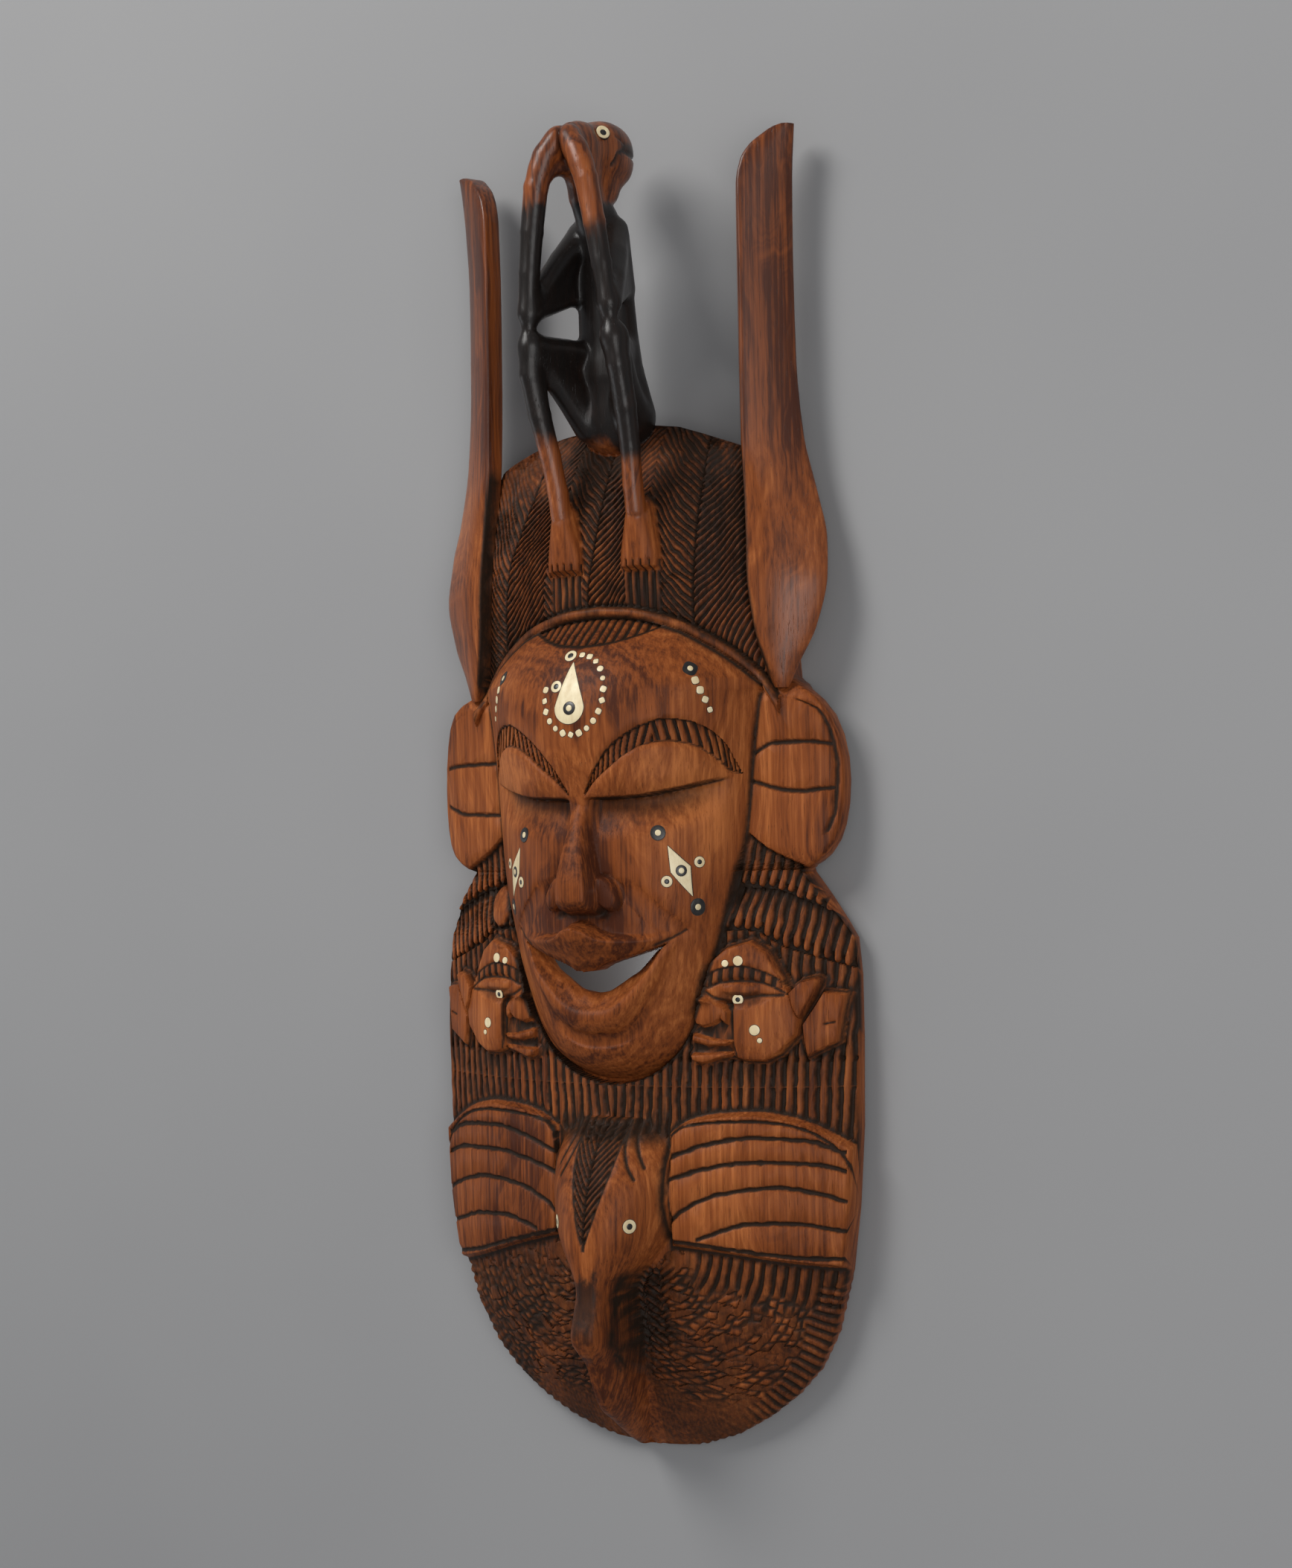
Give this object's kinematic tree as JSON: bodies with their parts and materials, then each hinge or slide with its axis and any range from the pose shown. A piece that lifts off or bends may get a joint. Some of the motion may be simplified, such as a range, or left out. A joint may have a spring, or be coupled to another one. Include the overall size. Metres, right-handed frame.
{
  "type": "carved wall mask",
  "caption": "Tall carved hardwood wall mask with horns, a seated figure, small profile faces and a bird's head, hollow behind, with bone and black inlays.",
  "frame": {"origin": "middle of the mask's length and width, on the surface that its flat back rim lies on", "axes": "+Y along the mask towards the tips of the horns, +Z out of the face, +X to the right as one looks at the face with the horns up"},
  "size_m": [0.2706, 0.7623, 0.1022],
  "materials": {
    "wood": "satin oiled hardwood, dark stain left in the grooves, ebonised figure",
    "bone": "polished bone",
    "black": "polished black horn"
  },
  "bodies": {
    "root": {"mask": "wood", "temple_ring_left": "black", "temple_ring_right": "black", "temple_dot_1_left": "bone", "temple_dot_1_right": "bone", "temple_dot_2_left": "bone", "temple_dot_2_right": "bone", "temple_dot_3_left": "bone", "temple_dot_3_right": "bone", "temple_dot_4_left": "bone", "temple_dot_4_right": "bone", "cheek_ring_upper_left": "black", "cheek_ring_upper_right": "black", "cheek_ring_outer_left": "bone", "cheek_ring_outer_right": "bone", "cheek_ring_inner_left": "bone", "cheek_ring_inner_right": "bone", "cheek_ring_lower_left": "black", "cheek_ring_lower_right": "black", "small_face_brow_dot_1_left": "bone", "small_face_brow_dot_1_right": "bone", "small_face_brow_dot_2_left": "bone", "small_face_brow_dot_2_right": "bone", "small_face_eye_left": "bone", "small_face_eye_right": "bone", "small_face_cheek_dot_1_left": "bone", "small_face_cheek_dot_1_right": "bone", "small_face_cheek_dot_2_left": "bone", "small_face_cheek_dot_2_right": "bone", "bird_eye_left": "bone", "bird_eye_right": "bone", "figure_eye_left": "bone", "figure_eye_right": "bone", "teardrop": "bone", "teardrop_ring": "black", "forehead_ring_upper": "bone", "forehead_ring_side": "bone", "lozenge_left": "bone", "lozenge_left_ring": "black", "lozenge_right": "bone", "lozenge_right_ring": "black", "forehead_dot_01": "bone", "forehead_dot_02": "bone", "forehead_dot_03": "bone", "forehead_dot_04": "bone", "forehead_dot_05": "bone", "forehead_dot_06": "bone", "forehead_dot_07": "bone", "forehead_dot_08": "bone", "forehead_dot_09": "bone", "forehead_dot_10": "bone", "forehead_dot_11": "bone", "forehead_dot_12": "bone", "forehead_dot_13": "bone", "forehead_dot_14": "bone", "forehead_dot_15": "bone", "forehead_dot_16": "bone", "forehead_dot_17": "bone", "forehead_dot_18": "bone"}
  },
  "joints": []
}
